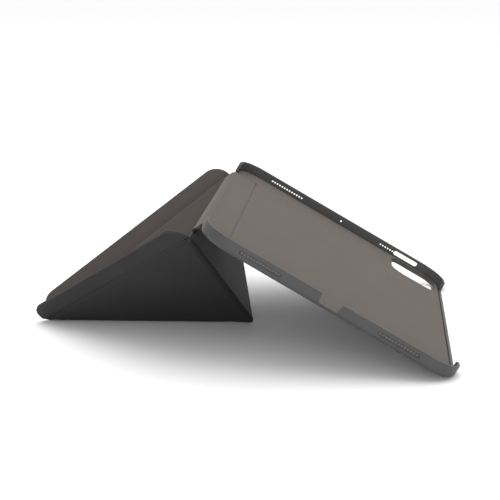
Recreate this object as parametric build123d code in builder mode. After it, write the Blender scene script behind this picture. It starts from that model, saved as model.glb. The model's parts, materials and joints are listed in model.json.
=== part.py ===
"""Folding tablet case, standing in its low typing position.

A rigid tray holds the tablet. A spine joins it to a cover made of stiff panels with creases
between them, and the cover folds up into an open boat that carries the tray's upper edge.

Frame: millimetres, +Z up, the table is Z = 0. +Y runs along the hinge, +X runs from the boat
to the tray's lower edge, and the origin is under the middle of the whole footprint.
"""

import os
from math import cos, radians, sin

from build123d import *

# ---- driving dimensions ----------------------------------------------------------------------

# tray, measured in its own plane: across from the hinge edge, along Y, and up from its back
tray_width = 183.0
tray_length = 252.4
tray_depth = 8.8
tray_wall = 2.1
tray_floor = 1.6
tray_corner_radius = 20.0
tray_back_radius = 3.0
tray_tilt = 29.9
wrap_length = 26.0
wrap_end_radius = 3.0
lower_lip_height = 2.4
hinge_setback = 2.4
rim_chamfer = 0.45

# tray openings
grille_spacing = 98.0
grille_length = 29.4
grille_height = 2.8
grille_recess = 0.7
grille_level = 4.9
grille_holes = 13
grille_pitch = 2.19
grille_hole_radius = 0.7
port_top_width = 17.0
port_floor_width = 13.4
port_floor_level = 2.7
camera_size = 37.0
camera_radius = 9.0
camera_inset = 25.0
camera_ring_width = 2.2
camera_ring_height = 0.9
button_width = 21.0
button_height = 3.6
button_inset = 33.0
microphone_radius = 0.8

# soft layers of the tray
lining_thickness = 0.5
lining_gap = 0.8
flap_thickness = 0.5
flap_width = 18.0

# cover, measured on the flat cover: u along Y from the middle, v from the spine to the free edge
cover_half_length = 128.0
cover_width = 181.4
cover_corner_radius = 12.0
crease_start = 116.0
crease_end = 115.0
apex = 90.13
crease_gap = 2.0
seam_gap = 0.25

# layers of a cover panel and of a thinner gusset: outer skin, board, lining
panel_layers = (0.6, 1.3, 0.7)
gusset_layers = (0.5, 0.9, 0.4)
panel_thickness = sum(panel_layers)

# spine between the tray and the cover
spine_width = 8.9
spine_half_length = 97.0
spine_thickness = 2.0
spine_hinge_across = 0.4
spine_hinge_up = 1.6

# fold angles of the stand, in degrees from a flat cover
spine_slope = 34.0
centre_lean = 18.86
side_fold = 103.37
edge_fold = 16.4
gusset_folds = {-1: 173.0, 1: 110.0}

# creases: the near gusset folds right back, so its hinge line is lifted clear of the lining
crease_radius = 1.0
crease_web = 1.0
gusset_crease_radius = 0.55
gusset_crease_lifts = {-1: 1.45, 1: 0.0}
keel_gap = 3.0
centre_fold_half_width = 20.0
centre_fold_thickness = 1.0

# magnets in the boards
magnet_play = 0.1
magnet_length = 18.0
magnet_width = 5.0

# middle of the footprint, measured from the tray's hinge edge
footprint_shift = 17.06

# ---- reference planes ------------------------------------------------------------------------

tilt = radians(tray_tilt)
across = Vector(cos(tilt), 0, -sin(tilt))
upward = Vector(sin(tilt), 0, cos(tilt))

# the rounded lower back edge of the tray rests on the table
hinge_edge_height = (
    (tray_width - tray_back_radius) * sin(tilt) - tray_back_radius * cos(tilt) + tray_back_radius
)
tray = Plane(origin=(-footprint_shift, 0, hinge_edge_height), x_dir=across, z_dir=upward)
along_y = Vector(0, 1, 0)

spine_root = tray.from_local_coords((spine_hinge_across, 0, spine_hinge_up))
slope = radians(spine_slope)
spine_dir = Vector(-cos(slope), 0, -sin(slope))
spine = Plane(origin=spine_root, x_dir=along_y, z_dir=along_y.cross(spine_dir))

cover_hinge = spine_root + spine_dir * spine_width
lean = radians(centre_lean)
centre_dir = Vector(sin(lean), 0, -cos(lean))
centre = Plane(origin=cover_hinge, x_dir=along_y, z_dir=along_y.cross(centre_dir))


def turned(plane, start, end, angle):
    """The plane turned about the line from start to end by the right-hand rule."""
    line = Axis(start, end - start)
    return Plane(
        origin=start + (plane.origin - start).rotate(line, angle),
        x_dir=plane.x_dir.rotate(line, angle),
        z_dir=plane.z_dir.rotate(line, angle),
    )


def side_plane(side):
    """The plane of the side panel: side is -1 for the near one and +1 for the far one."""
    start = centre.from_local_coords((side * crease_start, 0, 0))
    end = centre.from_local_coords((0, apex, 0))
    return turned(centre, start, end, -side * side_fold)


def edge_plane(side):
    """The plane of the strip along the short edge."""
    plane = side_plane(side)
    start = plane.from_local_coords((side * crease_start, 0, 0))
    end = plane.from_local_coords((side * crease_end, cover_width, 0))
    return turned(plane, start, end, -side * edge_fold)


def gusset_axis(side):
    """The gusset's hinge line, from the apex to the free edge."""
    plane = side_plane(side)
    lift = gusset_crease_lifts[side]
    start = plane.from_local_coords((0, apex, lift))
    end = plane.from_local_coords((side * crease_end, cover_width, lift))
    return start, end


def gusset_plane(side):
    """The plane of the gusset, tucked inside the boat."""
    start, end = gusset_axis(side)
    return turned(side_plane(side), start, end, side * gusset_folds[side])


# ---- flat outlines of the cover panels -------------------------------------------------------


def centre_points():
    """Triangle between the spine and the apex."""
    return [(-crease_start, 0), (crease_start, 0), (0, apex)]


def side_points(side):
    """Triangle between the two side creases and the apex."""
    return [(side * crease_start, 0), (0, apex), (side * crease_end, cover_width)]


def gusset_points(side):
    """Right triangle between the apex and half of the free edge."""
    return [(side * crease_end, cover_width), (0, apex), (0, cover_width)]


def edge_points(side):
    """Strip along the short edge, before its outer corners are rounded."""
    return [
        (side * crease_end, cover_width),
        (side * crease_start, 0),
        (side * cover_half_length, 0),
        (side * cover_half_length, cover_width),
    ]


def inset(points, gaps):
    """Move each edge of a convex outline inward by its own gap and join the edges again."""
    count = len(points)
    middle = Vector(sum(p[0] for p in points) / count, sum(p[1] for p in points) / count)
    lines = []
    for index, gap in enumerate(gaps):
        start = Vector(*points[index])
        end = Vector(*points[(index + 1) % count])
        normal = Vector(start.Y - end.Y, end.X - start.X).normalized()
        if normal.dot(middle - start) < 0:
            normal = -normal
        lines.append((start + normal * gap, end - start))
    corners = []
    for index, (start, run) in enumerate(lines):
        before, step = lines[index - 1]
        cross = step.X * run.Y - step.Y * run.X
        offset_vector = start - before
        share = (offset_vector.X * run.Y - offset_vector.Y * run.X) / cross
        corners.append((before.X + step.X * share, before.Y + step.Y * share))
    return corners


# ---- helpers that make and save one piece ----------------------------------------------------


def save(piece, name):
    """Name a finished piece and write it."""
    piece.label = name
    export_step(piece, f"parts/{name}.step")


def bar_size(along_u, extra=0.0):
    """Length and width of a magnet bar, laid along u or along v."""
    size = (magnet_length + extra, magnet_width + extra)
    return size if along_u else size[::-1]


def cover_layer(name, plane, outline, low, thickness, pockets=()):
    """One flat layer of a cover panel, trimmed to the cover's rounded outline."""
    with BuildPart() as layer:
        with BuildSketch(plane.offset(low)):
            with BuildLine():
                Polyline(*outline, close=True)
            make_face()
            with Locations((0, cover_width / 2)):
                RectangleRounded(
                    2 * cover_half_length, cover_width, cover_corner_radius, mode=Mode.INTERSECT
                )
        extrude(amount=thickness)
        for along_u, place in pockets:
            with BuildSketch(plane.offset(low)):
                with Locations(place):
                    Rectangle(*bar_size(along_u, 2 * magnet_play))
            extrude(amount=thickness, mode=Mode.SUBTRACT)
    save(layer.part, name)


def magnets(name, plane, places, board_low, board_thickness):
    """A group of flat bar magnets lying in the pockets of a board."""
    with BuildPart() as bars:
        for along_u, place in places:
            with BuildSketch(plane.offset(board_low + magnet_play)):
                with Locations(place):
                    Rectangle(*bar_size(along_u))
            extrude(amount=board_thickness - 2 * magnet_play)
    save(bars.part, name)


def cover_panel(name, plane, points, gaps, bars, layers=panel_layers, skin_gaps=None):
    """The skin, board, magnets and lining of one stiff panel, stacked about its plane."""
    skin, board, lining = layers
    skin_low = -sum(layers) / 2
    board_low = skin_low + skin
    outline = inset(points, gaps)
    cover_layer(f"{name}_skin", plane, inset(points, skin_gaps or gaps), skin_low, skin)
    cover_layer(f"{name}_board", plane, outline, board_low, board, bars)
    cover_layer(f"{name}_lining", plane, outline, board_low + board, lining)
    magnets(f"{name}_magnets", plane, bars, board_low, board)


def crease(name, start, end, inward, radius, web_length):
    """A rounded fabric fold on the hinge line, with a web to the edge of its own panel."""
    run = end - start
    with BuildPart() as fold:
        with BuildSketch(Plane(origin=start, x_dir=inward, z_dir=run)):
            Circle(radius)
            Rectangle(web_length, crease_web, align=(Align.MIN, Align.CENTER))
        extrude(amount=run.length)
    save(fold.part, name)


def crease_on(name, plane, points, toward, trims, gap=crease_gap, lift=0.0, radius=crease_radius):
    """A crease between two flat points of a panel, shortened at both ends by the trims."""
    start = plane.from_local_coords((*points[0], lift))
    end = plane.from_local_coords((*points[1], lift))
    direction = (end - start).normalized()
    inner = plane.from_local_coords((*toward, lift)) - start
    inward = (inner - direction * inner.dot(direction)).normalized()
    crease(name, start + direction * trims[0], end - direction * trims[1], inward, radius, gap)


# ---- tray ------------------------------------------------------------------------------------

os.makedirs("parts", exist_ok=True)

tray_up = Axis((0, 0, 0), upward)
tray_middle = (tray_width / 2, 0)
near_face = Plane(
    origin=tray.from_local_coords((tray_width / 2, -tray_length / 2, 0)),
    x_dir=across,
    z_dir=-along_y,
)
far_face = Plane(
    origin=tray.from_local_coords((tray_width / 2, tray_length / 2, 0)),
    x_dir=-across,
    z_dir=along_y,
)
hinge_face = Plane(origin=tray.origin, x_dir=along_y, z_dir=across)
lower_face = Plane(
    origin=tray.from_local_coords((tray_width, 0, 0)), x_dir=along_y, z_dir=across
)
camera_place = (tray_width - camera_inset, tray_length / 2 - camera_inset)
clear = 5.0
open_half = tray_length / 2 - wrap_length


def wrap_opening(bottom):
    """Sketch of a long edge's opening, flared where the corner wraps round off."""
    shoulder = tray_depth - wrap_end_radius
    flare = open_half + wrap_end_radius
    with BuildSketch() as opening:
        with BuildLine():
            Line((0, bottom), (open_half, bottom))
            Line((open_half, bottom), (open_half, shoulder))
            CenterArc((flare, shoulder), wrap_end_radius, 180, -90)
            Line((flare, tray_depth), (flare, tray_depth + clear))
            Line((flare, tray_depth + clear), (0, tray_depth + clear))
            mirror(about=Plane.YZ)
        make_face()
    return opening.sketch


hinge_opening = wrap_opening(-clear)
lower_opening = wrap_opening(lower_lip_height)

with BuildPart() as shell_tray:
    with BuildSketch(tray):
        with Locations(tray_middle):
            RectangleRounded(tray_width, tray_length, tray_corner_radius)
    extrude(amount=tray_depth)
    fillet(shell_tray.faces().sort_by(tray_up)[0].edges(), tray_back_radius)
    # recess that holds the tablet
    with BuildSketch(tray.offset(tray_floor)):
        with Locations(tray_middle):
            RectangleRounded(
                tray_width - 2 * tray_wall,
                tray_length - 2 * tray_wall,
                tray_corner_radius - tray_wall,
            )
    extrude(amount=tray_depth, mode=Mode.SUBTRACT)
    chamfer(shell_tray.faces().sort_by(tray_up)[-1].edges(), rim_chamfer)
    # the hinge edge is open between the corner wraps, and its floor is set back
    with BuildSketch(hinge_face.offset(-clear)):
        add(hinge_opening)
    extrude(amount=clear + hinge_setback, mode=Mode.SUBTRACT)
    # the lower edge is open above a low lip
    with BuildSketch(lower_face.offset(clear)):
        add(lower_opening)
    extrude(amount=-(clear + tray_wall), mode=Mode.SUBTRACT)
    # charging port in the near wall, open at the top and flared
    with BuildSketch(near_face.offset(clear)):
        with BuildLine():
            Polyline(
                (-port_floor_width / 2, port_floor_level),
                (port_floor_width / 2, port_floor_level),
                (port_top_width / 2, tray_depth + clear),
                (-port_top_width / 2, tray_depth + clear),
                close=True,
            )
        make_face()
    extrude(amount=-(clear + tray_wall), mode=Mode.SUBTRACT)
    # speaker grilles in both short walls
    for face in (near_face, far_face):
        with BuildSketch(face):
            with Locations((0, grille_level)):
                with GridLocations(grille_spacing, 0, 2, 1):
                    SlotOverall(grille_length, grille_height)
        extrude(amount=-grille_recess, mode=Mode.SUBTRACT)
        with BuildSketch(face):
            with Locations((0, grille_level)):
                with GridLocations(grille_spacing, 0, 2, 1):
                    with GridLocations(grille_pitch, 0, grille_holes, 1):
                        Circle(grille_hole_radius)
        extrude(amount=-tray_wall, mode=Mode.SUBTRACT)
    # power button slot and microphone hole in the far wall
    with BuildSketch(far_face):
        with Locations((-(tray_width / 2 - button_inset), grille_level)):
            SlotOverall(button_width, button_height)
        with Locations((0, grille_level)):
            Circle(microphone_radius)
    extrude(amount=-tray_wall, mode=Mode.SUBTRACT)
    # raised ring around the camera window in the back
    with BuildSketch(tray):
        with Locations(camera_place):
            ring_size = camera_size + 2 * camera_ring_width
            RectangleRounded(ring_size, ring_size, camera_radius + camera_ring_width)
    extrude(amount=-camera_ring_height)
    with BuildSketch(tray.offset(-camera_ring_height)):
        with Locations(camera_place):
            RectangleRounded(camera_size, camera_size, camera_radius)
    extrude(amount=camera_ring_height + tray_floor, mode=Mode.SUBTRACT)
save(shell_tray.part, "shell_tray")

# hinge flap: a strip bonded to the tray's floor, ending in the rounded fold of the spine hinge
with BuildPart() as hinge_flap:
    with BuildSketch(tray.offset(tray_floor)):
        with Locations((spine_hinge_across, 0)):
            Rectangle(flap_width, 2 * spine_half_length, align=(Align.MIN, Align.CENTER))
    extrude(amount=flap_thickness)
    fold_end = tray.from_local_coords((spine_hinge_across, -spine_half_length, spine_hinge_up))
    with BuildSketch(Plane(origin=fold_end, x_dir=across, z_dir=along_y)):
        Circle(crease_radius)
    extrude(amount=2 * spine_half_length)
save(hinge_flap.part, "hinge_flap")

# soft lining on the floor, cut away around the flap and the camera window
with BuildPart() as tray_lining:
    with BuildSketch(tray.offset(tray_floor)):
        with Locations(tray_middle):
            RectangleRounded(
                tray_width - 2 * (tray_wall + lining_gap),
                tray_length - 2 * (tray_wall + lining_gap),
                tray_corner_radius - tray_wall - lining_gap,
            )
        with Locations((0, 0)):
            Rectangle(
                2 * (spine_hinge_across + flap_width + lining_gap),
                2 * (spine_half_length + lining_gap),
                mode=Mode.SUBTRACT,
            )
        with Locations(camera_place):
            window = camera_size + 2 * lining_gap
            RectangleRounded(window, window, camera_radius + lining_gap, mode=Mode.SUBTRACT)
    extrude(amount=lining_thickness)
save(tray_lining.part, "tray_lining")

# ---- spine -----------------------------------------------------------------------------------

spine_start = crease_radius + 0.5
spine_end = spine_width - crease_gap
spine_skin_thickness = 0.5
spine_board_thickness = spine_thickness - 2 * spine_skin_thickness


def spine_layer(name, low, thickness):
    """One layer of the narrow spine strip, with rounded ends."""
    with BuildPart() as layer:
        with BuildSketch(spine.offset(low)):
            with Locations((0, (spine_start + spine_end) / 2)):
                RectangleRounded(2 * spine_half_length, spine_end - spine_start, 2.0)
        extrude(amount=thickness)
    save(layer.part, name)


spine_layer("spine_skin", -spine_thickness / 2, spine_skin_thickness)
spine_layer("spine_board", -spine_board_thickness / 2, spine_board_thickness)
spine_layer("spine_lining", spine_board_thickness / 2, spine_skin_thickness)
crease_on(
    "cover_crease",
    spine,
    [(-spine_half_length, spine_width), (spine_half_length, spine_width)],
    (0, 0),
    (2.0, 2.0),
)

# ---- cover -----------------------------------------------------------------------------------

apex_trim = 7.0
corner_trim = 5.0
cover_panel(
    "centre",
    centre,
    centre_points(),
    [1.7, crease_gap, crease_gap],
    [(True, (-34, 20)), (True, (34, 20))],
)

for side, word in ((-1, "near"), (1, "far")):
    side_panel = side_plane(side)
    corner = (side * crease_start, 0)
    tip = (side * crease_end, cover_width)
    crease_on(f"{word}_side_crease", centre, [corner, (0, apex)], (0, 0), (corner_trim, apex_trim))
    cover_panel(
        f"{word}_side",
        side_panel,
        side_points(side),
        [crease_gap, keel_gap, crease_gap],
        [(False, (side * 100, 40)), (False, (side * 100, 145))],
        skin_gaps=[crease_gap, 0, crease_gap],
    )
    crease_on(
        f"{word}_edge_crease", side_panel, [corner, tip], (0, apex), (corner_trim, corner_trim)
    )
    crease_on(
        f"{word}_gusset_crease",
        side_panel,
        [(0, apex), tip],
        corner,
        (2 * apex_trim, 2 * corner_trim),
        gap=keel_gap,
        lift=gusset_crease_lifts[side],
        radius=gusset_crease_radius,
    )
    cover_panel(
        f"{word}_edge",
        edge_plane(side),
        edge_points(side),
        [crease_gap, 0, 0, 0],
        [(False, (side * 122.5, 60)), (False, (side * 122.5, 121))],
    )
    cover_panel(
        f"{word}_gusset",
        gusset_plane(side),
        gusset_points(side),
        [keel_gap, centre_fold_half_width, 0],
        [(True, (side * 38, cover_width - 7)), (True, (side * 76, cover_width - 7))],
        layers=gusset_layers,
    )

# soft band between the two gussets, without a board, stored with the near one
fold_reach = centre_fold_half_width - seam_gap
near_end = apex + 22.0
far_end = apex + 52.0
with BuildPart() as centre_fold:
    with BuildSketch(gusset_plane(-1).offset(-centre_fold_thickness / 2)):
        with BuildLine():
            Polyline(
                (-fold_reach, near_end),
                (-5, apex + 12.0),
                (1, apex + 14.0),
                (fold_reach, far_end),
                (fold_reach, cover_width),
                (-fold_reach, cover_width),
                close=True,
            )
        make_face()
    extrude(amount=centre_fold_thickness)
save(centre_fold.part, "centre_fold")
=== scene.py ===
# %% [markdown]
# # A folding tablet case
#
# The case is a hard tray, a narrow spine and a cover. The cover is one laminated sheet with stiff
# boards inside it, so it bends only along its creases. Standing, it is folded into an open boat
# that carries the tray's upper edge.
#
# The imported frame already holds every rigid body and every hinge. This scene gives the frame its
# soft skins, its folds and its finishes.

import json
from math import radians

import bmesh
import bpy
from mathutils import Matrix, Vector
from mathutils.geometry import interpolate_bezier


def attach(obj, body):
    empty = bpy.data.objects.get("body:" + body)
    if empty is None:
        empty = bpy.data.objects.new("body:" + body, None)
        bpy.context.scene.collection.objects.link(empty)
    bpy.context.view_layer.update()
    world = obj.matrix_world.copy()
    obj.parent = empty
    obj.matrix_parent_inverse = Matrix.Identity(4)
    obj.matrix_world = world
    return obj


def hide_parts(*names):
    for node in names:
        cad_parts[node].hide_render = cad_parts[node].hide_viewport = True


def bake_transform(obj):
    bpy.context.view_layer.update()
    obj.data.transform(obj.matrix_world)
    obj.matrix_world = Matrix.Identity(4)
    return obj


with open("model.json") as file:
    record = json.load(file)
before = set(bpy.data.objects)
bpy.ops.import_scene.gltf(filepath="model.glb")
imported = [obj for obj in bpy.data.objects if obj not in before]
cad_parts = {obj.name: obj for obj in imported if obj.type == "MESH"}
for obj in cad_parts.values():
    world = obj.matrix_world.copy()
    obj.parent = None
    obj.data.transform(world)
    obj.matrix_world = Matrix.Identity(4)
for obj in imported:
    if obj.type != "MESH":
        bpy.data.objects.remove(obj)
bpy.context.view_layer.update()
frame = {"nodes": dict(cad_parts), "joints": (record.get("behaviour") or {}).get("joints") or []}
joints = {joint["name"]: joint for joint in frame["joints"]}
MM = 0.001

# %% [markdown]
# ## Where each panel lies
#
# The cover is drawn flat: u runs along the hinge from its middle, v from the spine to the free
# edge. Every fold is a hinge of the frame that ends flat, so turning the flat plane back by the
# hinge's whole range gives the panel's place in the stand. Nothing has to be fitted.

# %% Planes of the tray, the spine and the cover panels
HALF_LENGTH = 128.0 * MM
WIDTH = 181.4 * MM
CREASE_START = 116.0 * MM
CREASE_END = 115.0 * MM
APEX = 90.13 * MM
TRAY_TILT = radians(29.9)
ALONG = Vector((0, 1, 0))


def plane(origin, x_dir, z_dir):
    """A matrix whose columns are the plane's two directions, its normal and its origin."""
    y_dir = z_dir.cross(x_dir)
    place = Matrix((x_dir, y_dir, z_dir)).transposed().to_4x4()
    place.translation = origin
    return place


def folded(flat, joint_name):
    """A flat panel's plane turned back about a hinge by the hinge's whole range."""
    joint = joints[joint_name]
    turn = Matrix.Rotation(-radians(joint["range_deg"][1]), 4, Vector(joint["axis"]))
    place = Matrix.Translation(Vector(joint["pos_m"]))
    return place @ turn @ place.inverted() @ flat


tray_hinge = Vector(joints["spine_hinge"]["pos_m"])
cover_hinge = Vector(joints["cover_hinge"]["pos_m"])
across = Matrix.Rotation(TRAY_TILT, 3, "Y") @ Vector((1, 0, 0))
spine_down = (cover_hinge - tray_hinge).normalized()
side_run = (CREASE_START**2 + APEX**2) ** 0.5
apex_point = Vector(joints["far_side_fold"]["pos_m"])
apex_point = apex_point + Vector(joints["far_side_fold"]["axis"]) * side_run
centre_down = (apex_point - cover_hinge).normalized()

planes = {
    "tray": plane(tray_hinge, ALONG, ALONG.cross(-across)),
    "spine": plane(tray_hinge, ALONG, ALONG.cross(spine_down)),
    "centre": plane(cover_hinge, ALONG, ALONG.cross(centre_down)),
}
for word in ("near", "far"):
    planes[f"{word}_side"] = folded(planes["centre"], f"{word}_side_fold")
    planes[f"{word}_edge"] = folded(planes[f"{word}_side"], f"{word}_edge_fold")
    planes[f"{word}_gusset"] = folded(planes[f"{word}_side"], f"{word}_gusset_fold")
print("apex at", [round(value / MM, 2) for value in apex_point], "mm")

# %% [markdown]
# ## Helpers for colour and nodes
#
# Colours are written as sRGB hex values, which a shader needs as linear light. One function
# turns them, and one adds a node with its settings and its links.


# %% Colour and node helpers
def colour(hex_value):
    """Linear RGBA of an sRGB hex value."""
    parts = [int(hex_value[i : i + 2], 16) / 255 for i in (1, 3, 5)]
    linear = [c / 12.92 if c <= 0.04045 else ((c + 0.055) / 1.055) ** 2.4 for c in parts]
    return (*linear, 1.0)


def new_material(name):
    """A node material with its tree and its shader."""
    made = bpy.data.materials.new(name)
    made.use_nodes = True
    return made, made.node_tree, made.node_tree.nodes["Principled BSDF"]


def add(tree, kind, values=None, links=None, **settings):
    """Add a node, set its own settings and socket values, and link sockets into it."""
    made = tree.nodes.new(kind)
    for key, value in settings.items():
        setattr(made, key, value)
    for key, value in (values or {}).items():
        made.inputs[key].default_value = value
    for key, source in (links or {}).items():
        tree.links.new(source, made.inputs[key])
    return made


def per_mm(size):
    """Pattern scale for Object coordinates, which are metres, from a feature size in mm."""
    return 1 / (size * MM)


def ramp(tree, source, stops):
    """A colour ramp from pairs of place and hex colour."""
    made = add(tree, "ShaderNodeValToRGB", links={"Fac": source})
    elements = made.color_ramp.elements
    while len(elements) < len(stops):
        elements.new(0.5)
    for element, (place, hex_value) in zip(elements, stops):
        element.position = place
        element.color = colour(hex_value)
    return made.outputs["Color"]


def spread(tree, source, low, high):
    """Map a 0 to 1 value to the range from low to high."""
    return add(
        tree,
        "ShaderNodeMapRange",
        values={"To Min": low, "To Max": high},
        links={"Value": source},
    ).outputs["Result"]


# %% [markdown]
# ## Synthetic leather
#
# The outside of the cover is polyurethane on a knitted backing, embossed with a fine pebble
# grain. The film is matt and almost black, so the eye reads it by the soft, broken highlight on
# its pebbles. Real pebbles are 0.3 to 0.5 mm; they are drawn at 0.8 mm so that they show.


# %% Polyurethane synthetic leather, embossed
def embossed_leather():
    made, tree, shader = new_material("polyurethane leather, embossed")
    spot = add(tree, "ShaderNodeTexCoord").outputs["Object"]
    drift = add(
        tree,
        "ShaderNodeTexNoise",
        values={"Scale": per_mm(38), "Detail": 3.0, "Roughness": 0.55},
        links={"Vector": spot},
    ).outputs["Fac"]
    pebbles = add(
        tree,
        "ShaderNodeTexVoronoi",
        values={"Scale": per_mm(0.8), "Smoothness": 0.6, "Randomness": 0.9},
        links={"Vector": spot},
        feature="SMOOTH_F1",
    ).outputs["Distance"]
    pores = add(
        tree,
        "ShaderNodeTexNoise",
        values={"Scale": per_mm(0.45), "Detail": 2.0},
        links={"Vector": spot},
    ).outputs["Fac"]
    tree.links.new(
        ramp(tree, drift, [(0.30, "#232323"), (0.55, "#262626"), (0.75, "#2A2A2A")]),
        shader.inputs["Base Color"],
    )
    tree.links.new(spread(tree, drift, 0.58, 0.72), shader.inputs["Roughness"])
    emboss = add(
        tree,
        "ShaderNodeBump",
        values={"Strength": 0.35, "Distance": 0.05 * MM},
        links={"Height": pebbles},
        invert=True,
    ).outputs["Normal"]
    fine = add(
        tree,
        "ShaderNodeBump",
        values={"Strength": 0.15, "Distance": 0.02 * MM},
        links={"Height": pores, "Normal": emboss},
    ).outputs["Normal"]
    tree.links.new(fine, shader.inputs["Normal"])
    shader.inputs["IOR"].default_value = 1.5
    shader.inputs["Specular IOR Level"].default_value = 0.2
    return made


leather = embossed_leather()
print("made", leather.name)

# %% [markdown]
# ## Microfibre
#
# The lining is a suede-like microfibre: fibres far thinner than a hair, brushed into a short nap.
# It has no highlight, but its nap catches light at grazing angles and shows patches where it was
# stroked another way. The shader's sheen is made for that. Real fibres are a few thousandths of a
# millimetre wide; they are drawn at 0.35 mm so that they show.


# %% Brushed microfibre
def brushed_microfibre():
    made, tree, shader = new_material("microfibre, brushed")
    spot = add(tree, "ShaderNodeTexCoord").outputs["Object"]
    nap = add(
        tree,
        "ShaderNodeTexNoise",
        values={"Scale": per_mm(26), "Detail": 4.0, "Roughness": 0.6, "Distortion": 0.6},
        links={"Vector": spot},
    ).outputs["Fac"]
    combed = add(
        tree, "ShaderNodeMapping", values={"Scale": (1.0, 0.35, 1.0)}, links={"Vector": spot}
    ).outputs["Vector"]
    fibres = add(
        tree,
        "ShaderNodeTexNoise",
        values={"Scale": per_mm(0.35), "Detail": 3.0, "Roughness": 0.7},
        links={"Vector": combed},
    ).outputs["Fac"]
    mixed = add(
        tree,
        "ShaderNodeMix",
        values={"Factor": 0.45},
        links={"A": nap, "B": fibres},
        data_type="FLOAT",
    ).outputs["Result"]
    tree.links.new(
        ramp(tree, mixed, [(0.25, "#433E3A"), (0.50, "#484340"), (0.75, "#4E4945")]),
        shader.inputs["Base Color"],
    )
    tree.links.new(spread(tree, nap, 0.84, 0.97), shader.inputs["Roughness"])
    pile = add(
        tree,
        "ShaderNodeBump",
        values={"Strength": 0.4, "Distance": 0.05 * MM},
        links={"Height": fibres},
    ).outputs["Normal"]
    tree.links.new(pile, shader.inputs["Normal"])
    shader.inputs["Sheen Weight"].default_value = 0.22
    shader.inputs["Sheen Roughness"].default_value = 0.45
    shader.inputs["Sheen Tint"].default_value = colour("#B9ABA0")
    shader.inputs["Specular IOR Level"].default_value = 0.25
    return made


microfibre = brushed_microfibre()
print("made", microfibre.name)

# %% [markdown]
# ## Polycarbonate
#
# The tray is injection moulded in a tool with a spark-eroded texture, which leaves a fine, even,
# matt skin. Handling polishes it a little in patches. An ambient occlusion node paints shade, with
# a little dark dust, into the grilles and slots. The texture's pits are about 0.1 mm, and they are
# drawn at 0.4 mm.


# %% Moulded polycarbonate, spark textured
def moulded_polycarbonate():
    made, tree, shader = new_material("polycarbonate, moulded matt")
    spot = add(tree, "ShaderNodeTexCoord").outputs["Object"]
    patches = add(
        tree,
        "ShaderNodeTexNoise",
        values={"Scale": per_mm(45), "Detail": 3.0},
        links={"Vector": spot},
    ).outputs["Fac"]
    pits = add(
        tree,
        "ShaderNodeTexNoise",
        values={"Scale": per_mm(0.4), "Detail": 2.0, "Roughness": 0.6},
        links={"Vector": spot},
    ).outputs["Fac"]
    clean = ramp(tree, patches, [(0.3, "#323232"), (0.55, "#343434"), (0.75, "#373737")])
    # Painted shade: ambient occlusion darkens the grilles, slots and other recesses towards near
    # black, with a little dust as well.
    open_air = add(tree, "ShaderNodeAmbientOcclusion", values={"Distance": 1.6 * MM}, samples=8)
    recess_shade_and_dust = add(
        tree,
        "ShaderNodeMix",
        links={"Factor": spread(tree, open_air.outputs["AO"], 1.0, 0.0), "A": clean},
        data_type="RGBA",
    )
    recess_shade_and_dust.inputs["B"].default_value = colour("#0C0C0C")
    tree.links.new(recess_shade_and_dust.outputs["Result"], shader.inputs["Base Color"])
    tree.links.new(spread(tree, patches, 0.44, 0.56), shader.inputs["Roughness"])
    texture = add(
        tree,
        "ShaderNodeBump",
        values={"Strength": 0.18, "Distance": 0.03 * MM},
        links={"Height": pits},
    ).outputs["Normal"]
    tree.links.new(texture, shader.inputs["Normal"])
    shader.inputs["IOR"].default_value = 1.58
    shader.inputs["Specular IOR Level"].default_value = 0.4
    return made


polycarbonate = moulded_polycarbonate()
print("made", polycarbonate.name)

# %% [markdown]
# ## Hidden materials
#
# The boards are plain polypropylene sheet and the magnets are nickel plated bars. Both are sealed
# inside the cover, so they get simple finishes that are still true to them.


# %% Polypropylene sheet and nickel plate
def plain_finish(name, shades, roughness, metallic, grain_mm):
    made, tree, shader = new_material(name)
    spot = add(tree, "ShaderNodeTexCoord").outputs["Object"]
    grain = add(
        tree,
        "ShaderNodeTexNoise",
        values={"Scale": per_mm(grain_mm), "Detail": 3.0},
        links={"Vector": spot},
    ).outputs["Fac"]
    tree.links.new(
        ramp(tree, grain, [(0.35, shades[0]), (0.65, shades[1])]), shader.inputs["Base Color"]
    )
    tree.links.new(
        spread(tree, grain, roughness - 0.05, roughness + 0.05), shader.inputs["Roughness"]
    )
    shader.inputs["Metallic"].default_value = metallic
    return made


polypropylene = plain_finish("polypropylene, extruded sheet", ("#3A3A38", "#42423F"), 0.6, 0.0, 3)
nickel = plain_finish("nickel plate, barrel finished", ("#A8A49C", "#B8B4AB"), 0.3, 1.0, 1.5)
for name, node in frame["nodes"].items():
    if name.endswith("_board"):
        node.material_slots[0].material = polypropylene
    if name.endswith("_magnets"):
        node.material_slots[0].material = nickel
print("finished boards and magnets")

# %% [markdown]
# ## Finishing a mesh
#
# Each new piece is drawn in its panel's flat plane and then moved into place with its mesh, so
# its object stays at the origin. Smooth faces with sharp edges past 35 degrees, and normals
# weighted by face size, keep the big faces flat and the small rounded edges soft.


# %% Turn a bmesh into a finished piece
def finish_piece(bm, name, materials, replaced):
    """Make the object for a bmesh that is already in the frame's place."""
    mesh = bpy.data.meshes.new(name)
    bm.to_mesh(mesh)
    bm.free()
    for item in materials:
        mesh.materials.append(item)
    mesh.shade_smooth()
    mesh.set_sharp_from_angle(angle=radians(35))
    piece = bpy.data.objects.new(name, mesh)
    bpy.context.scene.collection.objects.link(piece)
    even = piece.modifiers.new("even normals", "WEIGHTED_NORMAL")
    even.keep_sharp = True
    if replaced:
        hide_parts(*replaced)
    return piece


# %% [markdown]
# ## Cutting a panel from the flat cover
#
# A maker cuts the cover with rounded corners and then presses the creases, so each panel is the
# rounded sheet less what lies past its creases. Bisecting one rounded face gives every outline
# the right corners, which drawing eight outlines by hand wouldn't.


# %% Panel outlines
CORNER = 12.0 * MM
SPINE_GAP = 1.7 * MM
CREASE_GAP = 2.0 * MM
KEEL_GAP = 3.0 * MM
BAND_HALF = 20.0 * MM
SKIN_THICKNESS = 0.35 * MM


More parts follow.
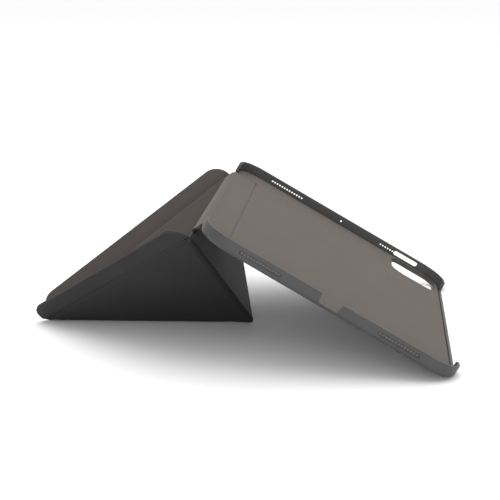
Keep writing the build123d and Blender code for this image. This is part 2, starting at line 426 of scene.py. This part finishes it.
def panel_corners(word, side):
    """A panel's corners on the flat cover, and the gap that its board leaves at each edge."""
    start = (side * CREASE_START, 0)
    end = (side * CREASE_END, WIDTH)
    if word == "centre":
        corners = [(-CREASE_START, 0), (CREASE_START, 0), (0, APEX)]
        return corners, [SPINE_GAP, CREASE_GAP, CREASE_GAP]
    if word == "side":
        return [start, (0, APEX), end], [CREASE_GAP, KEEL_GAP, CREASE_GAP]
    if word == "gusset":
        return [end, (0, APEX), (0, WIDTH)], [KEEL_GAP, BAND_HALF, None]
    corners = [end, start, (side * HALF_LENGTH, 0), (side * HALF_LENGTH, WIDTH)]
    return corners, [CREASE_GAP, None, None, None]


def rounded_sheet(half_length, low, high, radius, segments=14):
    """One flat face from v low to v high with rounded corners, centred along u."""
    bm = bmesh.new()
    ring = ((-half_length, low), (half_length, low), (half_length, high), (-half_length, high))
    bm.faces.new([bm.verts.new((*corner, 0)) for corner in ring])
    bmesh.ops.bevel(
        bm,
        geom=bm.verts[:],
        offset=radius,
        affect="VERTICES",
        segments=segments,
        profile=0.5,
        material=-1,
    )
    return bm


def cut_outline(corners, gaps, trim=0.0):
    """The rounded cover, cut along each edge that has a gap, with every edge moved out by trim."""
    bm = rounded_sheet(HALF_LENGTH + trim, -trim, WIDTH + trim, CORNER + trim)
    middle = sum((Vector((*corner, 0)) for corner in corners), Vector()) / len(corners)
    for index, gap in enumerate(gaps):
        if gap is None:
            continue
        first = Vector((*corners[index], 0))
        run = Vector((*corners[(index + 1) % len(corners)], 0)) - first
        out = run.cross(Vector((0, 0, 1))).normalized()
        if out.dot(middle - first) > 0:
            out = -out
        bmesh.ops.bisect_plane(
            bm,
            geom=bm.verts[:] + bm.edges[:] + bm.faces[:],
            dist=1e-7,
            plane_co=first - out * (gap - trim),
            plane_no=out,
            clear_outer=True,
        )
    return bm


def thicken(bm, low, high):
    """Move a flat outline to its lower level and extrude it to its upper one."""
    bmesh.ops.translate(bm, vec=(0, 0, low), verts=bm.verts)
    grown = bmesh.ops.extrude_face_region(bm, geom=bm.faces[:])["geom"]
    top = [item for item in grown if isinstance(item, bmesh.types.BMVert)]
    bmesh.ops.translate(bm, vec=(0, 0, high - low), verts=top)
    bmesh.ops.recalc_face_normals(bm, faces=bm.faces)


def level_edges(bm, level):
    """The edges that lie at one height."""
    return [e for e in bm.edges if all(abs(v.co.z - level) < 1e-7 for v in e.verts)]


def soften(bm, edges, radius, segments=3):
    """Round some edges."""
    bmesh.ops.bevel(
        bm,
        geom=edges,
        offset=radius,
        affect="EDGES",
        segments=segments,
        profile=0.5,
        material=-1,
        clamp_overlap=True,
    )


# %% [markdown]
# ## Linings and skins
#
# The microfibre lies on the board and its cut edge is rounded by the press. The leather is the
# other face: its rim is turned up round the board's edge, so a thin dark line frames the lining.
# Two solids with a boolean between them would make that shallow dish too, but an inset of the top
# face, pushed down to the board, makes it with one clean wall all round.


# %% Build the laminated panels
CUT_ROUND = 0.35 * MM
TURN_ROUND = 0.4 * MM
RIM_RISE = 0.12 * MM


def lining_piece(body, corners, gaps, low, high):
    """The microfibre on top of a panel's board."""
    bm = cut_outline(corners, gaps)
    area = sum(face.calc_area() for face in bm.faces)
    thicken(bm, low, high)
    soften(bm, level_edges(bm, high), CUT_ROUND)
    bm.transform(planes[body])
    piece = finish_piece(bm, f"{body}_microfibre", [microfibre], [f"{body}_lining"])
    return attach(piece, body), area


def skin_piece(body, corners, gaps, low, floor, rim):
    """The leather under a panel's board, with its rim turned up."""
    bm = cut_outline(corners, gaps, SKIN_THICKNESS)
    turned_up = sum(edge.calc_length() for edge in bm.edges) * (rim - low)
    area = sum(face.calc_area() for face in bm.faces) + turned_up
    thicken(bm, low, rim)
    top = [face for face in bm.faces if all(abs(v.co.z - rim) < 1e-7 for v in face.verts)]
    bmesh.ops.inset_region(bm, faces=top, thickness=SKIN_THICKNESS, use_even_offset=True)
    dish = bmesh.ops.extrude_face_region(bm, geom=top)["geom"]
    inner = [item for item in dish if isinstance(item, bmesh.types.BMVert)]
    bmesh.ops.translate(bm, vec=(0, 0, floor - rim), verts=inner)
    bmesh.ops.delete(bm, geom=top, context="FACES_ONLY")
    soften(bm, level_edges(bm, low), TURN_ROUND, 4)
    bmesh.ops.recalc_face_normals(bm, faces=bm.faces)
    bm.transform(planes[body])
    piece = finish_piece(bm, f"{body}_leather", [leather], [f"{body}_skin"])
    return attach(piece, body), area


def flat_size(corners, gaps):
    """Width and length of the rectangle that a panel is cut from."""
    bm = cut_outline(corners, gaps)
    size = [
        max(v.co[axis] for v in bm.verts) - min(v.co[axis] for v in bm.verts) for axis in (0, 1)
    ]
    bm.free()
    return tuple(size)


# heights in mm: under the skin, under the board, on the board and on the lining
stacks = {"panel": (-1.3, -0.7, 0.6, 1.3), "gusset": (-0.9, -0.4, 0.5, 0.9)}
panel_list = [("centre", "centre", 0)]
for word, side in (("near", -1), ("far", 1)):
    panel_list += [(f"{word}_{part}", part, side) for part in ("side", "edge", "gusset")]
for name, part, side in panel_list:
    corners, gaps = panel_corners(part, side)
    low, floor, seat, high = (
        level * MM for level in stacks["gusset" if part == "gusset" else "panel"]
    )
    size = flat_size(corners, gaps)
    lining, area = lining_piece(name, corners, gaps, seat, high)
    rim = seat + RIM_RISE
    skin, area = skin_piece(name, corners, gaps, low, floor, rim)
    size = tuple(value + 2 * (SKIN_THICKNESS + rim - low) for value in size)
    print(name, "cut", [round(value / MM, 1) for value in size], "mm")

# %% [markdown]
# ## Folds
#
# Between two boards the leather and the microfibre are pressed together into a thin web that does
# the bending. Its section is full height where it meets each panel and thin in the middle. A
# Bezier from one panel's edge to the other's gives the middle line, so one function makes a sharp
# fold, a gentle one and a fold that turns right back. The section is then extruded along the
# crease, cut flush where the cover ends, and blended so that it opens and closes with the joint.

# %% Build one fold
STEPS = 16
FLARE = 2.6
LEAST_SPAN = 0.3 * MM


def edge_frame(body, points, toward, height, offset):
    """A crease on a panel: its ends, the way inward, the normal and the shift to mid-height."""
    place = planes[body]
    start, end, inner = (place @ Vector((*point, height)) for point in (*points, toward))
    run = (end - start).normalized()
    inward = inner - start
    inward = (inward - run * inward.dot(run)).normalized()
    normal = place.to_3x3() @ Vector((0, 0, 1))
    return start, end, inward, normal, normal * (offset - height)


def edge_plane(body, first, second, inner):
    """The plane square to a panel through two of its points, facing away from an inner one."""
    place = planes[body]
    low, high, middle = (place @ Vector((*point, 0)) for point in (first, second, inner))
    out = (high - low).cross(place.to_3x3() @ Vector((0, 0, 1))).normalized()
    return low, -out if out.dot(middle - low) > 0 else out


def trim_fold(bm, point, out):
    """Cut off what lies past a plane and close the cut."""
    bmesh.ops.bisect_plane(
        bm,
        geom=bm.verts[:] + bm.edges[:] + bm.faces[:],
        dist=1e-7,
        plane_co=point,
        plane_no=out,
        clear_outer=True,
    )
    open_edges = [edge for edge in bm.edges if edge.is_boundary]
    bmesh.ops.holes_fill(bm, edges=open_edges, sides=0)


def fold_strip(name, bodies, points, towards, gaps, halves, webs, reaches, **extra):
    """A fold across a crease that two bodies share, given in their flat coordinates.

    Gaps are how far the strip starts from the crease on each body, and halves are half its height
    there. Webs are its height above and below the middle line at the crease, and reaches are the
    pull of the middle line's two handles.
    """
    height = extra.get("height", 0.0)
    offsets = extra.get("offsets", (0.0, 0.0))
    frames = [
        edge_frame(body, ends, inner, height, shift)
        for body, ends, inner, shift in zip(bodies, points, towards, offsets)
    ]
    (start, end, in_a, normal_a, lift_a), (_, _, in_b, normal_b, lift_b) = frames
    run = (end - start).normalized()
    length = (end - start).length - extra.get("end_trim", 0.0)
    edge_a = start + in_a * gaps[0] + lift_a
    edge_b = start + in_b * gaps[1] + lift_b
    line = interpolate_bezier(
        edge_a, edge_a - in_a * reaches[0], edge_b - in_b * reaches[1], edge_b, STEPS + 1
    )
    bm = bmesh.new()
    upper, lower, normals = [], [], []
    sign = 1 if run.cross(in_a).dot(normal_a) > 0 else -1
    for index, spot in enumerate(line):
        before, after = line[max(index - 1, 0)], line[min(index + 1, STEPS)]
        normal = (run.cross(before - after) * sign).normalized()
        share = index / STEPS
        full = halves[0] + (halves[1] - halves[0]) * share
        inner, outer = (web + (full - web) * abs(2 * share - 1) ** FLARE for web in webs)
        upper.append(bm.verts.new(spot + normal * inner))
        lower.append(bm.verts.new(spot - normal * outer))
        normals.append(normal)
    cap = bm.faces.new(upper + lower[::-1])
    grown = bmesh.ops.extrude_face_region(bm, geom=[cap])["geom"]
    far_verts = [item for item in grown if isinstance(item, bmesh.types.BMVert)]
    bmesh.ops.translate(bm, vec=run * length, verts=far_verts)
    for point, out in extra.get("cuts", []):
        trim_fold(bm, point, out)
    bmesh.ops.recalc_face_normals(bm, faces=bm.faces)
    for face in bm.faces:
        spot = face.calc_center_median()
        spot = spot - run * (spot - start).dot(run)
        near = min(range(STEPS + 1), key=lambda i: (line[i] - spot).length)
        inside = (spot - line[near]).dot(normals[near]) > 0
        face.material_index = 1 if inside and len(face.verts) == 4 else 0
    piece = finish_piece(bm, name, [leather, microfibre], extra["replaced"])
    chord = edge_b - edge_a
    way = chord.normalized()
    low = abs(normal_a.dot(way)) * halves[0]
    high = chord.length - abs(normal_b.dot(way)) * halves[1]
    if high - low < LEAST_SPAN:
        middle = (low + high) / 2
        low, high = middle - LEAST_SPAN / 2, middle + LEAST_SPAN / 2
    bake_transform(piece)
    return piece


# %% [markdown]
# The cover has two creases from the apex to the spine's corners, one beside each edge strip and
# one along each half of the keel, where the gussets turn up inside the boat. The near gusset is
# folded right back, so its fold reaches further round. Beside an edge strip the web is thicker on
# the lining's side, because that crease is pressed in from the leather.

# %% Make the cover's folds
HALF = 1.25 * MM
GUSSET_HALF = 0.85 * MM
OVERLAP = 0.25 * MM
KEEL_LIFT = {"near": 1.45 * MM, "far": 0.0}
KEEL_REACH = {"near": 6.1 * MM, "far": 4.6 * MM}
crease_gaps = (CREASE_GAP + OVERLAP, CREASE_GAP + OVERLAP)
apex = (0, APEX)
for word, side in (("near", -1), ("far", 1)):
    corner = (side * CREASE_START, 0)
    tip = (side * CREASE_END, WIDTH)
    outer = (side * HALF_LENGTH, 0)
    keel_plane = edge_plane(f"{word}_side", apex, tip, corner)
    split_plane = edge_plane(f"{word}_gusset", apex, (0, WIDTH), tip)
    centre_top = edge_plane("centre", corner, (0, 0), apex)
    edge_top = edge_plane(f"{word}_edge", corner, outer, tip)
    fold_strip(
        f"{word}_side_fold_web",
        bodies=("centre", f"{word}_side"),
        points=((corner, apex), (corner, apex)),
        towards=((0, 0), tip),
        gaps=crease_gaps,
        halves=(HALF, HALF),
        webs=(0.75 * MM, 0.9 * MM),
        reaches=(1.7 * MM, 1.7 * MM),
        cuts=[keel_plane, centre_top],
        replaced=[f"{word}_side_crease"],
    )
    fold_strip(
        f"{word}_edge_fold_web",
        bodies=(f"{word}_side", f"{word}_edge"),
        points=((corner, tip), (corner, tip)),
        towards=(apex, outer),
        gaps=crease_gaps,
        halves=(HALF, HALF),
        webs=(1.1 * MM, 0.5 * MM),
        reaches=(1.4 * MM, 1.4 * MM),
        cuts=[keel_plane, edge_top],
        replaced=[f"{word}_edge_crease"],
    )
    fold_strip(
        f"{word}_keel_fold_web",
        bodies=(f"{word}_side", f"{word}_gusset"),
        points=((apex, tip), (apex, tip)),
        towards=(corner, (0, WIDTH)),
        gaps=(KEEL_GAP + OVERLAP, KEEL_GAP + OVERLAP),
        halves=(HALF, GUSSET_HALF),
        webs=(0.72 * MM, 0.72 * MM),
        reaches=(KEEL_REACH[word], KEEL_REACH[word]),
        height=KEEL_LIFT[word],
        end_trim=3.2 * MM,
        cuts=[split_plane],
        replaced=[f"{word}_gusset_crease"],
    )
print("made six folds of the cover")

# %% [markdown]
# The spine is shorter than the cover. Past its ends the cover's edge has no board, so a pressed
# hem of leather closes each corner beside the centre panel.

# %% Close the two corners beside the spine
SPINE_HALF = 97.0 * MM
HEM_END = 112.0 * MM
HEM_WIDTH = 2.6 * MM
HEM_HALF = 0.75 * MM
HEM_ROUND = 0.4 * MM
for word, side in (("near", -1), ("far", 1)):
    corners = [
        (side * SPINE_HALF, 0),
        (side * CREASE_START, 0),
        (side * HEM_END, HEM_WIDTH),
        (side * SPINE_HALF, HEM_WIDTH),
    ]
    bm = cut_outline(corners, [0.0, 0.0, 0.0, 0.0])
    thicken(bm, -HEM_HALF, HEM_HALF)
    soften(bm, level_edges(bm, HEM_HALF) + level_edges(bm, -HEM_HALF), HEM_ROUND)
    bm.transform(planes["centre"])
    hem = finish_piece(bm, f"{word}_corner_hem", [leather], [])
    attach(hem, "centre")
print("hems from", SPINE_HALF / MM, "mm to the corners")

# %% [markdown]
# ## Spine
#
# The spine is a strip about 9 mm wide that spans the tablet's thickness when the case is closed.
# It has its own narrow board and bends along both long edges: one fold is bonded to the tray by a
# flap, the other carries the cover. Both folds are made with the same function as the cover's.

# %% Build the spine and its two folds
SPINE_WIDTH = 8.9 * MM
SPINE_HEIGHT = 1.0 * MM
SPINE_BOARD = 0.5 * MM
FLAP_START = 1.5 * MM
FLAP_END = 18.0 * MM
FLAP_HEIGHT = 0.5 * MM
SLAB_CORNER = 1.6 * MM
SLAB_ROUND = 0.2 * MM
spine_edges = (FLAP_START, SPINE_WIDTH - CREASE_GAP)


def slab(name, body, span, levels, finish, replaced):
    """A rounded sheet as long as the spine, laid in a body's plane between two levels."""
    bm = rounded_sheet(SPINE_HALF, *span, SLAB_CORNER, 6)
    area = sum(face.calc_area() for face in bm.faces)
    thicken(bm, *levels)
    soften(bm, level_edges(bm, max(levels, key=abs)), SLAB_ROUND)
    bmesh.ops.recalc_face_normals(bm, faces=bm.faces)
    bm.transform(planes[body])
    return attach(finish_piece(bm, name, [finish], replaced), body), area


def along_spine(v):
    """The two ends of a line as long as the spine, at one distance from its hinge."""
    return (-SPINE_HALF, v), (SPINE_HALF, v)


slab(
    "spine_microfibre",
    "spine",
    spine_edges,
    (SPINE_BOARD, SPINE_HEIGHT),
    microfibre,
    ["spine_lining"],
)
slab(
    "spine_leather",
    "spine",
    spine_edges,
    (-SPINE_HEIGHT, -SPINE_BOARD),
    leather,
    ["spine_skin"],
)
flap, flap_area = slab(
    "hinge_flap_microfibre",
    "tray",
    (-FLAP_END, -FLAP_START),
    (0.0, FLAP_HEIGHT),
    microfibre,
    ["hinge_flap"],
)
fold_strip(
    "spine_to_cover_fold_web",
    bodies=("spine", "centre"),
    points=(along_spine(SPINE_WIDTH), along_spine(0)),
    towards=((0, SPINE_WIDTH / 2), (0, APEX / 2)),
    gaps=(CREASE_GAP + OVERLAP, SPINE_GAP + OVERLAP),
    halves=(SPINE_HEIGHT, HALF),
    webs=(0.85 * MM, 0.85 * MM),
    reaches=(1.6 * MM, 1.5 * MM),
    replaced=["cover_crease"],
)
fold_strip(
    "tray_to_spine_fold_web",
    bodies=("tray", "spine"),
    points=(along_spine(0), along_spine(0)),
    towards=((0, -FLAP_END), (0, SPINE_WIDTH / 2)),
    gaps=(FLAP_START + OVERLAP, FLAP_START + OVERLAP),
    halves=(0.24 * MM, SPINE_HEIGHT),
    webs=(0.6 * MM, 0.6 * MM),
    reaches=(1.0 * MM, 1.0 * MM),
    offsets=(FLAP_HEIGHT / 2, 0.0),
    replaced=[],
)
print("spine", round(SPINE_WIDTH / MM, 1), "mm wide")

# %% [markdown]
# ## Band between the gussets
#
# The two gussets have no board near their shared line, so that the cover can be tucked in. That
# soft band keeps both layers. Each gusset carries its own half, cut from the same flat cover as
# the panels, and the halves meet when the case is closed.

# %% Build the two halves of the soft band
BAND_THICKNESS_HALF = 0.6 * MM
BAND_ROUND = 0.25 * MM
BAND_SPLIT = 0.05 * MM
shoulder = APEX + BAND_HALF * (WIDTH - APEX) / CREASE_END
for word, side in (("near", -1), ("far", 1)):
    corners = [apex, (side * BAND_HALF, shoulder), (side * BAND_HALF, WIDTH), (0, WIDTH)]
    bm = cut_outline(corners, [KEEL_GAP - SKIN_THICKNESS, -SKIN_THICKNESS, None, BAND_SPLIT])
    band_area = sum(face.calc_area() for face in bm.faces)
    thicken(bm, -BAND_THICKNESS_HALF, BAND_THICKNESS_HALF)
    for face in bm.faces:
        face.material_index = 1 if face.normal.z > 0.5 else 0
    rims = [level_edges(bm, level) for level in (BAND_THICKNESS_HALF, -BAND_THICKNESS_HALF)]
    soften(bm, rims[0] + rims[1], BAND_ROUND)
    bmesh.ops.recalc_face_normals(bm, faces=bm.faces)
    bm.transform(planes[f"{word}_gusset"])
    replaced = ["centre_fold"] if word == "near" else []
    band = finish_piece(bm, f"{word}_gusset_band", [leather, microfibre], replaced)
    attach(band, f"{word}_gusset")
    print(word, "band", round(band_area / MM**2), "mm2")

# %% [markdown]
# ## Tray
#
# The tray's shape is right in the frame, but its mesh is loose triangles with flat shading. A
# merged copy can be smoothed: coplanar triangles join into whole faces, small curved ones shade
# as one surface, and the real edges stay crisp. The lining gets a rounded cut edge as well.


# %% Merged copies of the tray's solids
FLATNESS = radians(0.4)
CLOTH_ROUND = 0.15 * MM


def merged_copy(node_name):
    """A bmesh of a node with its triangles joined into whole flat faces."""
    bm = bmesh.new()
    bm.from_mesh(frame["nodes"][node_name].data)
    bmesh.ops.remove_doubles(bm, verts=bm.verts, dist=2e-6)
    bmesh.ops.dissolve_limit(bm, angle_limit=FLATNESS, verts=bm.verts, edges=bm.edges)
    return bm


bm = merged_copy("shell_tray")
print("tray faces", len(bm.faces))
tray_shell = finish_piece(
    bm, "tray_polycarbonate", [polycarbonate], ["shell_tray"]
)
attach(tray_shell, "tray")

bm = merged_copy("tray_lining")
cloth_area = sum(face.calc_area() for face in bm.faces) / 2
bm.transform(planes["tray"].inverted())
soften(bm, level_edges(bm, max(v.co.z for v in bm.verts)), CLOTH_ROUND, 2)
bm.transform(planes["tray"])
tray_cloth = finish_piece(bm, "tray_microfibre", [microfibre], ["tray_lining"])
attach(tray_cloth, "tray")
print("tray lining", round(cloth_area / MM**2), "mm2")

# %% [markdown]
# ## Studio
#
# The case stands on a pale paper sweep under one broad softbox, with a low front fill so that the
# dark faces keep their shape. The white surroundings give the soft contact shadow.


# %% Floor, lights and camera
def area_light(name, place, target, size, power):
    light = bpy.data.lights.new(name, "AREA")
    light.shape = "RECTANGLE"
    light.size, light.size_y = size
    light.energy = power
    made = bpy.data.objects.new(name, light)
    bpy.context.scene.collection.objects.link(made)
    made.location = place
    made.rotation_euler = (Vector(target) - Vector(place)).to_track_quat("-Z", "Y").to_euler()
    return made


bm = bmesh.new()
bmesh.ops.create_grid(bm, x_segments=1, y_segments=1, size=8.0)
floor_mesh = bpy.data.meshes.new("floor")
bm.to_mesh(floor_mesh)
bm.free()
floor = bpy.data.objects.new("floor", floor_mesh)
bpy.context.scene.collection.objects.link(floor)
paper, tree, shader = new_material("paper sweep, matt")
shader.inputs["Base Color"].default_value = colour("#F6F6F6")
shader.inputs["Roughness"].default_value = 0.95
floor_mesh.materials.append(paper)

world = bpy.data.worlds.new("studio")
world.use_nodes = True
world.node_tree.nodes["Background"].inputs["Color"].default_value = colour("#FFFFFF")
world.node_tree.nodes["Background"].inputs["Strength"].default_value = 1.05
bpy.context.scene.world = world
area_light("top softbox", (0.0, 0.15, 1.5), (0, 0, 0.03), (2.4, 2.0), 16)
area_light("front fill", (0.5, -1.5, 0.35), (0.05, 0, 0.0), (1.6, 0.6), 7)

camera_data = bpy.data.cameras.new("camera")
camera_data.lens = 99.91
camera_data.sensor_width = 36.0
camera = bpy.data.objects.new("camera", camera_data)
bpy.context.scene.collection.objects.link(camera)
forward = Vector((-0.0887, 0.971, -0.2237)).normalized()
right = forward.cross(Vector((0, 0, 1))).normalized()
up = right.cross(forward)
place = Matrix((right, up, -forward)).transposed().to_4x4()
place.translation = (0.09053, -0.94339, 0.27020)
camera.matrix_world = place
bpy.context.scene.camera = camera
bpy.context.scene.view_settings.view_transform = "Standard"
